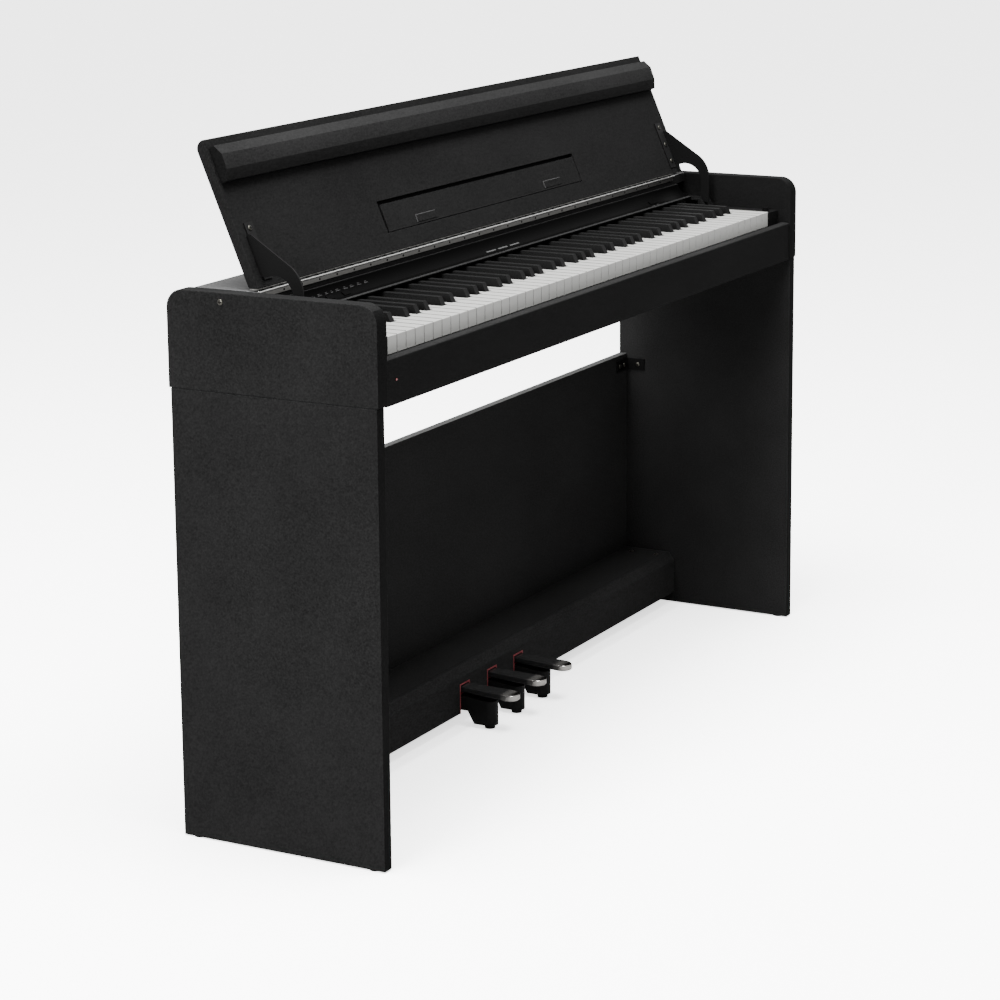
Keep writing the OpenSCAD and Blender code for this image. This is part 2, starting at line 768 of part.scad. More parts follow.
module stand_brackets() {
  color([0.3, 0.3, 0.3]) both_ends() {
    for (y = [front + 60, rear - 80]) {
      box(leg_in - 2, leg_in, y, y + 40, stand_h - 26, stand_h);
      box(leg_in - 40, leg_in - 2, y, y + 40, stand_h - 2, stand_h);
    }
    box(leg_in - 2, leg_in, shelf_rear - 34, shelf_rear, back_top - 28, back_top - 8);
    box(leg_in - 40, leg_in - 2, shelf_rear - 2, shelf_rear, back_top - 28, back_top - 8);
  }
}

module case_screws() {
  color([0.75, 0.75, 0.75]) {
    both_ends() {
      translate([body_w / 2, rear - 85, case_top - 12]) rotate([0, 90, 0]) cylinder(r1 = 4.2, r2 = 2.8, h = 2);
      for (y = [shelf_rear - 22, shelf_rear - 69]) {
        translate([leg_in - 27, y, shelf_top_z]) cylinder(r1 = 4, r2 = 2.6, h = 1.8);
      }
      translate([leg_in - 3.8, shelf_rear - 22, back_top - 18]) rotate([0, 90, 0]) cylinder(r1 = 2.4, r2 = 3.8, h = 1.8);
      for (x = [leg_in - 30, leg_in - 13]) {
        translate([x, shelf_rear - 3.8, back_top - 18]) rotate([-90, 0, 0]) cylinder(r1 = 2.4, r2 = 3.8, h = 1.8);
      }
    }
    for (k = [0:hinge_screw_n - 1]) {
      translate([hinge_screw_x(k), top_front - hinge_leaf_t - 0.8, axis_z - 5.6]) rotate([-90, 0, 0]) cylinder(r1 = 1.4, r2 = 2.2, h = 0.8);
    }
  }
}

// ---- Pedals ----

// Lever in side view: slopes down to a thin rounded nose
module pedal(x) {
  nose = pedal_nose_w / 2;
  root = pedal_w / 2;
  drop = pedal_reach * tan(pedal_slope);
  difference() {
    union() {
      intersection() {
        along_x(x - nose, x + nose) polygon([
          [shelf_front + 12, pedal_z], [pedal_tip_y - 1, pedal_z - drop],
          [pedal_tip_y - 1, pedal_z - drop - pedal_t], [shelf_front + 12, pedal_z - pedal_t]
        ]);
        union() {
          translate([x, pedal_tip_y + nose, 0]) cylinder(r = nose, h = 200);
          translate([x, 0, 0]) linear_extrude(200) polygon([
            [-root, shelf_front + 30], [-root, shelf_front - 10], [-nose, pedal_tip_y + nose],
            [nose, pedal_tip_y + nose], [root, shelf_front - 10], [root, shelf_front + 30]
          ]);
        }
      }
      box(x - 9, x + 9, shelf_front + 8, pedal_pivot_y, pedal_z - 16, pedal_z - 2);
      rod_x(x - 9, x + 9, pedal_pivot_y, pedal_pivot_z, 8);
    }
    rod_x(x - 20, x + 20, pedal_pivot_y, pedal_pivot_z, pedal_rod_r + rod_fit);
  }
}

module pedal_left() {
  color([0.7, 0.7, 0.7]) pedal(pedal_xs[0]);
}

module pedal_middle() {
  color([0.7, 0.7, 0.7]) pedal(pedal_xs[1]);
}

module pedal_right() {
  color([0.7, 0.7, 0.7]) pedal(pedal_xs[2]);
}

// Rod that the pedals turn on, carried by hangers under the shelf
module pedal_pivots() {
  color([0.5, 0.5, 0.5]) union() {
    rod_x(-1.5 * pedal_pitch - 6, 1.5 * pedal_pitch + 6, pedal_pivot_y, pedal_pivot_z, pedal_rod_r);
    for (k = [-1.5:1:1.5]) {
      box(k * pedal_pitch - 5, k * pedal_pitch + 5, pedal_pivot_y - 9, pedal_pivot_y + 9, pedal_pivot_z - 9, shelf_top_z - shelf_t);
    }
  }
}

// Felt round the sides and top of each pedal slot
module pedal_felts() {
  y1 = shelf_front + shelf_front_t;
  color([0.6, 0.05, 0.05]) for (x = pedal_xs) difference() {
    box(x - slot_w / 2, x + slot_w / 2, shelf_front, y1, shelf_low_z, slot_top);
    box(x - slot_w / 2 + felt_lining, x + slot_w / 2 - felt_lining, shelf_front - 1, y1 + 1, shelf_low_z - 1, slot_top - felt_lining);
  }
}

// Moulded foot under each pedal, standing on a round peg
module pedal_supports() {
  half = pedal_w / 2;
  low = 6;
  column_y = shelf_front - 55 + half;
  color([0.06, 0.06, 0.06]) for (x = pedal_xs) {
    translate([x, column_y, low]) cylinder(r = half, h = 43.5 - low);
    along_x(x - half, x + half) polygon([
      [column_y, low], [shelf_front - 22, low], [shelf_front - 11, shelf_low_z + 6], [shelf_front + 2, shelf_low_z + 6],
      [shelf_front + 2, 48], [column_y, 43.5]
    ]);
    translate([x, column_y, 0]) cylinder(r = 8, h = low);
  }
}

side_panel_left();
side_panel_right();
bottom_board();
front_board();
top_board();
rear_cover();
control_panel();
key_blocks();
lid_bumpers();
hinge_fixed_leaf();
hinge_lid_leaf();
hinge_pin();
lid();
lid_rail();
music_rest();
music_rest_pivots();
stay_arms();
arm_screws();
key_frame();
key_pivot_rod();
key_felts();
circuit_boards();
rubber_domes();
white_keys_low();
black_keys_low();
white_keys_high();
black_keys_high();
key_c4();
key_c_sharp4();
key_d4();
key_d_sharp4();
key_e4();
key_f4();
key_f_sharp4();
key_g4();
key_g_sharp4();
key_a4();
key_a_sharp4();
key_b4();
power_button();
voice_button();
metronome_button();
power_lamp();
rear_sockets();
speakers();
speaker_grilles();
leg_left();
leg_right();
back_panel();
pedal_board_front();
pedal_board_top();
stand_brackets();
case_screws();
floor_glides();
pedal_left();
pedal_middle();
pedal_right();
pedal_pivots();
pedal_supports();
pedal_felts();
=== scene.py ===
import json
import math
import random

import bmesh
import bpy
from mathutils import Matrix, Quaternion, Vector


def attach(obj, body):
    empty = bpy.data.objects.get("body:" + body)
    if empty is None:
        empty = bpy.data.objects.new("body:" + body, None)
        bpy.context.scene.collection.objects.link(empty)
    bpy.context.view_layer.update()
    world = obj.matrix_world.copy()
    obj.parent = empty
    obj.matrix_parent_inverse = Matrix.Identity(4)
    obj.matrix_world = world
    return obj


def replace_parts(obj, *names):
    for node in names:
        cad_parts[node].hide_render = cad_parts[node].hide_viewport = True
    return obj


MM = 0.001

# Main sizes in millimetres
BODY_W = 1350.0
REAR = 160.0
CASE_TOP = 750.0
CHEEK = 24.0
IN_W = BODY_W / 2 - CHEEK
LEG_T = 18.0
LEG_IN = BODY_W / 2 - LEG_T
AXIS_Y = 30.4
AXIS_Z = 750.5
LEAN = math.radians(23.0)
LID_FACE = -3.0
LID_OUT = (0.0, -math.cos(LEAN), math.sin(LEAN))


def linear(code):
    """Linear colour of an sRGB hex code."""
    out = []
    for i in (0, 2, 4):
        c = int(code[i:i + 2], 16) / 255
        out.append(c / 12.92 if c <= 0.04045 else ((c + 0.055) / 1.055) ** 2.4)
    return (*out, 1.0)


def grey(v):
    return (v, v, v, 1.0)


# ---------------------------------------------------------------- materials

def new_material(name):
    """An empty node material."""
    mat = bpy.data.materials.new(name)
    mat.use_nodes = True
    mat.node_tree.nodes.clear()
    return mat


def add(mat, kind, settings=None, **inputs):
    """Adds a node; an input given as a socket is linked, anything else is set as its value."""
    node = mat.node_tree.nodes.new(kind)
    for key, value in (settings or {}).items():
        setattr(node, key, value)
    for key, value in inputs.items():
        name = key.replace("_", " ")
        socket = node.inputs[int(key[1:])] if key[0] == "i" and key[1:].isdigit() else node.inputs[name]
        if isinstance(value, bpy.types.NodeSocket):
            mat.node_tree.links.new(value, socket)
        else:
            socket.default_value = value
    return node


def coords(mat, scale=(1, 1, 1)):
    """Object coordinates in metres, stretched by scale."""
    co = add(mat, "ShaderNodeTexCoord")
    return add(mat, "ShaderNodeMapping", Vector=co.outputs["Object"], Scale=scale).outputs[0]


def noise(mat, vec, per_metre, detail=3.0, rough=0.5):
    return add(mat, "ShaderNodeTexNoise", Vector=vec, Scale=per_metre, Detail=detail, Roughness=rough).outputs[0]


def ramp(mat, fac, stops):
    """Colour ramp from (position, colour) stops."""
    node = add(mat, "ShaderNodeValToRGB", Fac=fac)
    els = node.color_ramp.elements
    els[0].position, els[0].color = stops[0]
    els[1].position, els[1].color = stops[-1]
    for pos, col in stops[1:-1]:
        e = els.new(pos)
        e.color = col
    return node.outputs[0]


def span(mat, fac, low, high):
    """Carries a factor of 0 to 1 onto low to high."""
    return add(mat, "ShaderNodeMapRange", Value=fac, i3=low, i4=high).outputs[0]


def bump(mat, height, depth_mm, normal=None):
    extra = {"Normal": normal} if normal else {}
    return add(mat, "ShaderNodeBump", Height=height, Strength=1.0, Distance=depth_mm * MM, **extra).outputs[0]


def surface(mat, **inputs):
    """Closes the material with one shader that takes the inputs given."""
    bsdf = add(mat, "ShaderNodeBsdfPrincipled", **inputs)
    add(mat, "ShaderNodeOutputMaterial", Surface=bsdf.outputs[0])
    return mat


LONG_GRAIN = (0.5, 1, 1)


def laminate(name, dark, light, rough, grain=(1, 1, 1), depth=0.04):
    """Board foil with a fine mottled print and emboss: a soft matt black with barely visible specks."""
    mat = new_material(name)
    vec = coords(mat, grain)
    fine = noise(mat, vec, 420.0, 3.0, 0.65)
    slow = noise(mat, vec, 9.0, 2.0)
    mix = add(mat, "ShaderNodeMath", {"operation": "MULTIPLY_ADD"}, i0=slow, i1=0.25, i2=fine).outputs[0]
    tone = ramp(mat, mix, [(0.42, dark), (0.85, light)])
    return surface(
        mat, Base_Color=tone, Roughness=span(mat, fine, rough - 0.08, rough + 0.08),
        Normal=bump(mat, fine, depth), Specular_IOR_Level=0.006,
    )


def plastic(name, colour, rough, grain=1200.0, depth=0.01, spec=0.4):
    """Moulded or painted skin: one even colour whose sheen drifts a little from place to place."""
    mat = new_material(name)
    vec = coords(mat)
    fine = noise(mat, vec, grain)
    slow = noise(mat, vec, 25.0)
    return surface(
        mat, Base_Color=colour, Roughness=span(mat, slow, rough - 0.03, rough + 0.04),
        Normal=bump(mat, fine, depth), Specular_IOR_Level=spec,
    )


def metal(name, colour, rough, streak=(1, 1, 1), depth=0.004):
    """Plated steel with a very fine grain, so highlights are soft and slightly broken."""
    mat = new_material(name)
    vec = coords(mat, streak)
    fine = noise(mat, vec, 1500.0)
    slow = noise(mat, vec, 40.0)
    return surface(
        mat, Base_Color=colour, Metallic=1.0, Roughness=span(mat, slow, rough - 0.04, rough + 0.06),
        Normal=bump(mat, fine, depth),
    )


def felt(name, colour):
    """Pressed wool: no highlight, and a fuzzy surface with short fibres."""
    mat = new_material(name)
    vec = coords(mat)
    fibre = noise(mat, vec, 2500.0, 4.0, 0.7)
    return surface(
        mat, Base_Color=colour, Roughness=0.95, Normal=bump(mat, fibre, 0.3),
        Sheen_Weight=0.02, Sheen_Roughness=0.5,
    )


# Foiled board in lit and shaded copies of one black foil: the outer sides painted lighter where the light falls,
# the front faces painted darker as shade, and the inner faces deeper in the case painted lighter as painted fill
# light
SIDE = laminate("black_laminate_side", linear("090909"), linear("151515"), 0.6)
BOARD = laminate("black_laminate_board", linear("090909"), linear("131313"), 0.6, LONG_GRAIN)
FRONT_SHADE = laminate("black_laminate_painted_front_shade", linear("060606"), linear("0d0d0d"), 0.6, LONG_GRAIN)
INNER_LIT = laminate("black_laminate_painted_inner_light", linear("0e0e0e"), linear("1c1c1c"), 0.6, LONG_GRAIN)
LIDSKIN = laminate("black_laminate_lid", linear("080808"), linear("121212"), 0.55, (0.6, 1, 1))
RAIL = laminate("black_laminate_rail", linear("0c0c0c"), linear("181818"), 0.55, (0.6, 1, 1))
# Painted light on upward faces that reads as a pale line, a painted highlight on bevelled rims, and painted
# shade on the front edges
TOP_LIGHT = laminate("black_laminate_painted_top_light", linear("2c2c2c"), linear("404040"), 0.5, LONG_GRAIN)
RIM = laminate("black_laminate_painted_rim_highlight", linear("1a1a1a"), linear("262626"), 0.5)
EDGE = laminate("black_laminate_painted_edge_shade", linear("040404"), linear("0b0b0b"), 0.6)

# Mouldings: the control panel is near mirror black, the rest is satin or matt
GLOSS = plastic("gloss_black_moulding", linear("020202"), 0.3, depth=0.003, spec=0.004)
SATIN = plastic("satin_black_moulding", linear("060606"), 0.42, spec=0.02)
SUPPORT = plastic("black_moulded_support", linear("0c0c0c"), 0.5, spec=0.05)
RUBBER = plastic("black_rubber", linear("040404"), 0.75, spec=0.02)
BOARD_GREEN = plastic("green_circuit_board", linear("1e5a34"), 0.5)
PRINT = plastic("grey_panel_print", linear("2c2c2c"), 0.5, spec=0.02)

# Keys: pale even tops with a soft gloss, flanks in painted shade so the gaps read as dark lines, matt sharps
WHITE_KEY = plastic("white_key_plastic", linear("6e6e6c"), 0.34, depth=0.004, spec=0.2)
KEY_SIDE = plastic("shaded_key_side", linear("1c1c1c"), 0.6, spec=0.01)
BLACK_KEY = plastic("matt_black_key_plastic", linear("090909"), 0.42, depth=0.015, spec=0.04)

# Hardware: satin hinge steel with a painted highlight band on the knuckles and painted shade over their tops and
# in the gaps, black painted arms whose flange is a lighter copy as painted light, zinc screws
STEEL = metal("satin_nickel_steel", linear("6a6967"), 0.36, (0.1, 1, 1))
KNUCKLE_HIGHLIGHT = metal("knuckle_painted_highlight_band", linear("e4e4e2"), 0.3)
KNUCKLE_SHADE = plastic("knuckle_gap_painted_shade", linear("020202"), 0.6, spec=0.005)
KNUCKLE_TOP_SHADE = plastic("lid_knuckle_painted_shade", linear("0c0c0c"), 0.5, spec=0.02)
SCREW = metal("zinc_screw_steel", linear("34332f"), 0.42)
BLACK_METAL = plastic("black_painted_steel", linear("070707"), 0.4, spec=0.02)
FLANGE_LIT = plastic("black_steel_flange_painted_light", linear("0e0e0e"), 0.45, spec=0.02)
RED_FELT = felt("red_felt", linear("56040e"))


def lamp_material():
    """Tinted lens over a weak lamp: a dark red spot that barely glows."""
    mat = new_material("red_power_lamp")
    return surface(
        mat, Base_Color=linear("4a0c0c"), Roughness=0.25,
        Emission_Color=linear("ff3a28"), Emission_Strength=0.02,
    )


def pedal_chrome():
    """Polished chrome bar whose colour is painted bright round the nose and painted dark towards the shelf, a
    painted reflection of the dark case above.
    """
    mat = new_material("polished_chrome")
    co = add(mat, "ShaderNodeTexCoord").outputs["Object"]
    y = add(mat, "ShaderNodeSeparateXYZ", Vector=co).outputs[1]
    # Painted reflection: colour and metal fade from bright at the nose to dark towards the shelf
    back = add(mat, "ShaderNodeMapRange", Value=y, i1=-0.033, i2=-0.016, i3=0.0, i4=1.0).outputs[0]
    tone = ramp(mat, back, [(0.0, linear("7e7c79")), (1.0, linear("1e1e1e"))])
    slow = noise(mat, coords(mat, (1, 0.2, 1)), 60.0)
    return surface(
        mat, Base_Color=tone, Metallic=span(mat, back, 1.0, 0.35), Roughness=span(mat, slow, 0.12, 0.22),
        Specular_IOR_Level=0.1,
    )


LAMP = lamp_material()
CHROME = pedal_chrome()

SLOTS = {
    "black_laminate": BOARD, "gloss_black": GLOSS, "black_plastic": SATIN, "rubber": RUBBER,
    "satin_steel": STEEL, "black_metal": BLACK_METAL, "felt": RED_FELT, "circuit_board": BOARD_GREEN,
    "white_key": WHITE_KEY, "black_key": BLACK_KEY, "button": GLOSS, "lamp_red": LAMP, "chrome": CHROME,
}
# Lit and shaded copies by part: the left side and leg take the lighter side copy, the right side, key blocks and
# front board take painted shade, and the inner boards take painted light
BY_NODE = {
    "side_panel_left": SIDE, "leg_left": SIDE,
    "lid": LIDSKIN, "lid_rail": RAIL, "music_rest": LIDSKIN, "front_board": FRONT_SHADE,
    "side_panel_right": FRONT_SHADE, "key_blocks": FRONT_SHADE,
    "pedal_supports": SUPPORT, "music_rest_pivots": BLACK_METAL,
    "leg_right": INNER_LIT, "back_panel": INNER_LIT, "pedal_board_front": INNER_LIT, "pedal_board_top": INNER_LIT,
}


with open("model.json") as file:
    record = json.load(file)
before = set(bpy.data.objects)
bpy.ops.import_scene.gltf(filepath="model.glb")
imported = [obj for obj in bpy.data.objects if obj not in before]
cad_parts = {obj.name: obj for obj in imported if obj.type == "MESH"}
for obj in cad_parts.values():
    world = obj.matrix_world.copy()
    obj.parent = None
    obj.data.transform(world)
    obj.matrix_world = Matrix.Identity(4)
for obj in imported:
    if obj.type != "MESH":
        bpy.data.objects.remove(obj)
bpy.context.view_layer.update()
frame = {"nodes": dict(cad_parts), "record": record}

slot_of = {s["node"]: s["material_slot"] for s in frame["record"]["subparts"]}
for name, obj in frame["nodes"].items():
    obj.data.materials.clear()
    obj.data.materials.append(BY_NODE.get(name, SLOTS[slot_of[name]]))


body_of_node = {
    node: body
    for body, nodes in frame["record"]["behaviour"]["bodies"].items()
    for node in nodes
}


# ---------------------------------------------------------------- pieces

def place(name, bm, mat, node, smooth=True, sharp=32):
    """Turns a bmesh in metres into a piece that rides on the body of a CAD node."""
    bmesh.ops.recalc_face_normals(bm, faces=bm.faces)
    mesh = bpy.data.meshes.new(name)
    bm.to_mesh(mesh)
    bm.free()
    for m in mat if isinstance(mat, list) else [mat]:
        mesh.materials.append(m)
    if smooth:
        mesh.shade_smooth()
        mesh.set_sharp_from_angle(angle=math.radians(sharp))
    obj = bpy.data.objects.new(name, mesh)
    bpy.context.collection.objects.link(obj)
    if smooth:
        weighted = obj.modifiers.new("weighted", "WEIGHTED_NORMAL")
        weighted.keep_sharp = True
    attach(obj, body_of_node[node])
    return obj


def softened(node, offset, shortest=1.5, second=None, where=None):
    """A copy of a CAD node whose long sharp edges are rounded, as machined or moulded ones are."""
    source = frame["nodes"][node]
    bm = bmesh.new()
    bm.from_mesh(source.data)
    bm.transform(source.matrix_world)
    bmesh.ops.remove_doubles(bm, verts=bm.verts, dist=2e-6)
    bmesh.ops.dissolve_limit(
        bm, angle_limit=math.radians(0.5), use_dissolve_boundaries=False,
        verts=bm.verts, edges=bm.edges, delimit={"NORMAL"},
    )
    edges = [
        e for e in bm.edges
        if len(e.link_faces) == 2 and e.calc_length() > shortest * MM
        and e.calc_face_angle(0.0) > math.radians(20) and e.is_convex
    ]
    if offset:
        bmesh.ops.bevel(
            bm, geom=edges, offset=offset * MM, offset_type="OFFSET", affect="EDGES",
            segments=2, profile=0.5, material=-1, clamp_overlap=True,
        )
    mats = [source.data.materials[0]]
    if second:
        mats += second if isinstance(second, list) else [second]
        bm.normal_update()
        for f in bm.faces:
            f.material_index = int(where(f.normal))
    obj = place(node + "_piece", bm, mats, node, sharp=16)
    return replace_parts(obj, node)


def faces_front(n):
    return n.y < -0.75


def rail_shade(n):
    return 2 if abs(n.x) > 0.75 else int(n.z < 0.2)


def faces_up(n):
    return n.z > 0.6


def panel_lip(n):
    return n.z > 0.985


def rest_rim(n):
    return 0.3 < n.dot(Vector(LID_OUT)) < 0.95


def arm_flange(n):
    return n.dot(Vector(LID_OUT)) > 0.9


def key_flank(n):
    return abs(n.x) > (0.3 if n.y > -0.3 else 0.9)


for node, offset in {
    "lid": 0.8, "pedal_board_front": 0.8, "pedal_board_top": 0.5,
}.items():
    softened(node, offset)
# Upward faces of the top board and back panel take painted light
for node in ("top_board", "back_panel"):
    softened(node, 0.6, 1.5, TOP_LIGHT, faces_up)
# The front board's upward faces take the lighter rail copy as painted light
softened("front_board", 0.6, 1.5, RAIL, faces_up)
# The flat lip of the control panel takes the lighter inner copy as a painted highlight line
softened("control_panel", 0.9, 60.0, INNER_LIT, panel_lip)
# The rail's lower facet takes painted shade from the front-shade copy, and its end faces take painted shade
softened("lid_rail", 0.4, 1.5, [FRONT_SHADE, EDGE], rail_shade)
# Front faces of the side panels and legs take painted shade
for node in ("side_panel_left", "side_panel_right", "leg_left", "leg_right"):
    softened(node, 1.2, 1.5, EDGE, faces_front)
# The flanks of the white keys take painted shade so the gaps read as dark lines
for node in frame["nodes"]:
    if slot_of[node] == "white_key":
        softened(node, 0.8, 6.0, KEY_SIDE, key_flank)
    elif slot_of[node] == "black_key":
        softened(node, 1.3, 6.0)


KNUCKLE_R = 3.4
# Heights above the hinge axis that bound the painted highlight band on the knuckles; above it the knuckles take
# painted shade
HIGHLIGHT_LOW, HIGHLIGHT_HIGH = -1.0, 1.1


def hinge_leaf(node, upper):
    """A hinge leaf whose knuckles carry a painted highlight band low down and painted shade over the top."""
    source = frame["nodes"][node]
    bm = bmesh.new()
    bm.from_mesh(source.data)
    bm.transform(source.matrix_world)
    bmesh.ops.remove_doubles(bm, verts=bm.verts, dist=2e-6)
    for f in bm.faces:
        c = f.calc_center_median() / MM
        rise, out = c.z - AXIS_Z, AXIS_Y - c.y
        if math.hypot(rise, out) < KNUCKLE_R and rise > HIGHLIGHT_LOW:
            f.material_index = 1 if rise > HIGHLIGHT_HIGH else 2
    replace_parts(place(node + "_piece", bm, [STEEL, upper, KNUCKLE_HIGHLIGHT], node), node)


# Painted shade stands in for the dark gaps over the fixed knuckles and over the lid knuckles
hinge_leaf("hinge_fixed_leaf", KNUCKLE_SHADE)
hinge_leaf("hinge_lid_leaf", KNUCKLE_TOP_SHADE)
# The bevel faces round the music rest take a painted highlight
softened("music_rest", 0.9, 1.5, RIM, rest_rim)
# The stay-arm flange faces that look out of the lid take a lighter copy as painted light
softened("stay_arms", 0.0, 1.5, FLANGE_LIT, arm_flange)


def add_box(bm, low, high, turn=None):
    """Adds a box between two corners in millimetres; turn is an optional matrix in metres."""
    size = [(b - a) * MM for a, b in zip(low, high)]
    mid = [(a + b) / 2 * MM for a, b in zip(low, high)]
    matrix = Matrix.Translation(mid) @ Matrix.Diagonal((*size, 1.0))
    if turn is not None:
        matrix = turn @ matrix
    return bmesh.ops.create_cube(bm, size=1.0, matrix=matrix)["verts"]


def lathe(bm, profile, steps, matrix):
    """Spins (radius, height) points in millimetres about the local Z axis, then places them."""
    verts = [bm.verts.new((r * MM, 0.0, h * MM)) for r, h in profile]
    edges = [bm.edges.new(pair) for pair in zip(verts, verts[1:])]
    out = bmesh.ops.spin(
        bm, geom=verts + edges, axis=(0, 0, 1), cent=(0, 0, 0), steps=steps,
        angle=2 * math.pi, use_merge=False, use_duplicate=False,
    )
    made = set(verts) | {g for g in out["geom_last"] if isinstance(g, bmesh.types.BMVert)}
    for g in list(made):
        stack = [g]
        while stack:
            v = stack.pop()
            for e in v.link_edges:
                o = e.other_vert(v)
                if o not in made:
                    made.add(o)
                    stack.append(o)
    bmesh.ops.transform(bm, matrix=matrix, verts=list(made))
    bmesh.ops.remove_doubles(bm, verts=list(made), dist=1e-6)


def facing(point, axis):
    """Matrix that puts local Z along axis at a point in millimetres."""
    return Matrix.Translation(Vector(point) * MM) @ Vector(axis).to_track_quat("Z", "Y").to_matrix().to_4x4()


# ---------------------------------------------------------------- screws

def pan_head(r, h):
    """Half section of a domed screw head."""
    return [(0, h)] + [(r * math.sin(a), h * (0.35 + 0.65 * math.cos(a))) for a in
                       (math.radians(k * 15) for k in range(1, 7))] + [(r, 0), (0, 0)]


def screws(name, node, heads, recess_shade_mat, head_mat=None):
    """Domed heads with a cross of painted shade set on top in place of the recess; heads holds (point, axis,
    radius, height).
    """
    bm = bmesh.new()
    marks = bmesh.new()
    for point, axis, r, h in heads:
        turn = facing(point, axis)
        lathe(bm, pan_head(r, h), 24, turn)
        # Two thin dark boxes in a cross are painted shade standing in for the recess
        for w, d in ((0.62 * r, 0.14 * r), (0.14 * r, 0.62 * r)):
            add_box(marks, (-w, -d, h - 0.3), (w, d, h + 0.03), turn)
    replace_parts(place(name, bm, head_mat or SCREW, node), node)
    place(name + "_painted_recess_shade", marks, recess_shade_mat, node, smooth=False)


def mirrored(heads):
    out = list(heads)
    for point, axis, r, h in heads:
        out.append(((-point[0], point[1], point[2]), (-axis[0], axis[1], axis[2]), r, h))
    return out


def lid_point(x, s, h):
    """Point in millimetres at s up the open lid and h out of its inner side."""
    return (
        x,
        AXIS_Y + s * math.sin(LEAN) - h * math.cos(LEAN),
        AXIS_Z + s * math.cos(LEAN) + h * math.sin(LEAN),
    )


SHELF_REAR = REAR - 17.0
SHELF_FRONT = SHELF_REAR - 91.5
SHELF_TOP = 90.0
BACK_TOP = 432.0
case_heads = mirrored([
    ((BODY_W / 2, REAR - 85, CASE_TOP - 12), (1, 0, 0), 4.2, 2.0),
    ((LEG_IN - 27, SHELF_REAR - 22, SHELF_TOP), (0, 0, 1), 4.0, 1.8),
    ((LEG_IN - 27, SHELF_REAR - 69, SHELF_TOP), (0, 0, 1), 4.0, 1.8),
    ((LEG_IN - 2, SHELF_REAR - 22, BACK_TOP - 18), (-1, 0, 0), 3.8, 1.8),
    ((LEG_IN - 30, SHELF_REAR - 2, BACK_TOP - 18), (0, -1, 0), 3.8, 1.8),
    ((LEG_IN - 13, SHELF_REAR - 2, BACK_TOP - 18), (0, -1, 0), 3.8, 1.8),
])
screws("case_screw_heads", "case_screws", case_heads, SATIN)

KNUCKLE = 11.0
HINGE_X0 = -IN_W + 1
LEAF_FRONT = REAR - 29 - 98 - 1.2
knuckle_count = int((2 * IN_W - 39) // KNUCKLE)
leaf_heads = []
for k in range(knuckle_count // 4):
    x = HINGE_X0 + KNUCKLE * (1.5 + 4 * k)
    leaf_heads.append(((x, LEAF_FRONT, AXIS_Z - 5.6), (0, -1, 0), 1.6, 0.5))
screws("hinge_screw_heads", "case_screws", leaf_heads, SATIN, SATIN)

ARM_X = IN_W - 21
arm_heads = mirrored([
    (lid_point(ARM_X - 12, s, LID_FACE + 2), LID_OUT, 3.6, 1.9) for s in (84, 54, 25)
])
screws("arm_screw_heads", "arm_screws", arm_heads, SATIN)


# ---------------------------------------------------------------- pedals

PEDAL_PITCH = 85.0
PEDAL_W = 25.4
PEDAL_TOP = 62.0
PEDAL_T = 9.0
PEDAL_REACH = 92.0
PEDAL_NOSE = 31.0
PEDAL_ROUND = 2.0
PEDAL_TAIL = 12.0
PEDAL_TILT = math.radians(2.0)
PIVOT_Y = SHELF_REAR - 32
PIVOT_Z = 50.0
HUB_R, HUB_BORE, HUB_HALF = 8.0, 4.1, 9.0


def pedal(node, x):
    """Cast lever with a rounded nose and soft rims, on a hub inside the shelf."""
    half = PEDAL_W / 2
    nose = PEDAL_NOSE / 2
    tip = SHELF_FRONT - PEDAL_REACH
    back = SHELF_FRONT + PEDAL_TAIL
    slope = math.tan(PEDAL_TILT)
    bm = bmesh.new()
    plan = [(x + half, back), (x - half, back), (x - half, SHELF_FRONT - 10)]
    for k in range(29):
        a = math.pi + math.pi * k / 28
        plan.append((x + nose * math.cos(a), tip + nose + nose * math.sin(a)))
    plan.append((x + half, SHELF_FRONT - 10))
    top = [bm.verts.new((px * MM, py * MM, PEDAL_TOP * MM)) for px, py in plan]
    face = bm.faces.new(top)
    down = bmesh.ops.extrude_face_region(bm, geom=[face])
    low = [g for g in down["geom"] if isinstance(g, bmesh.types.BMVert)]
    bmesh.ops.translate(bm, vec=(0, 0, -PEDAL_T * MM), verts=low)
    low_set = set(low)
    upper = [e for e in bm.edges if not (set(e.verts) & low_set) and e.calc_length() < 30]
    upper = [e for e in upper if not all(abs(v.co.y - back * MM) < 1e-6 for v in e.verts)]
    bmesh.ops.bevel(
        bm, geom=upper, offset=PEDAL_ROUND * MM, offset_type="OFFSET", affect="EDGES",
        segments=5, profile=0.5, material=-1, clamp_overlap=True,
    )
    rim = [e for e in bm.edges if all(abs(v.co.z - (PEDAL_TOP - PEDAL_T) * MM) < 1e-6 for v in e.verts)]
    rim = [e for e in rim if not all(abs(v.co.y - back * MM) < 1e-6 for v in e.verts)]
    bmesh.ops.bevel(
        bm, geom=rim, offset=PEDAL_ROUND * MM, offset_type="OFFSET", affect="EDGES",
        segments=3, profile=0.5, material=-1, clamp_overlap=True,
    )
    for v in bm.verts:
        v.co.z -= (back * MM - v.co.y) * slope
    add_box(
        bm, (x - HUB_HALF, SHELF_FRONT + 8, PEDAL_TOP - 16), (x + HUB_HALF, PIVOT_Y, PEDAL_TOP - 2.5),
    )
    hub = [(HUB_BORE, -HUB_HALF), (HUB_R, -HUB_HALF), (HUB_R, HUB_HALF), (HUB_BORE, HUB_HALF)]
    lathe(bm, hub + hub[:1], 32, facing((x, PIVOT_Y, PIVOT_Z), (1, 0, 0)))
    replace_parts(place(node + "_lever", bm, CHROME, node, sharp=40), node)


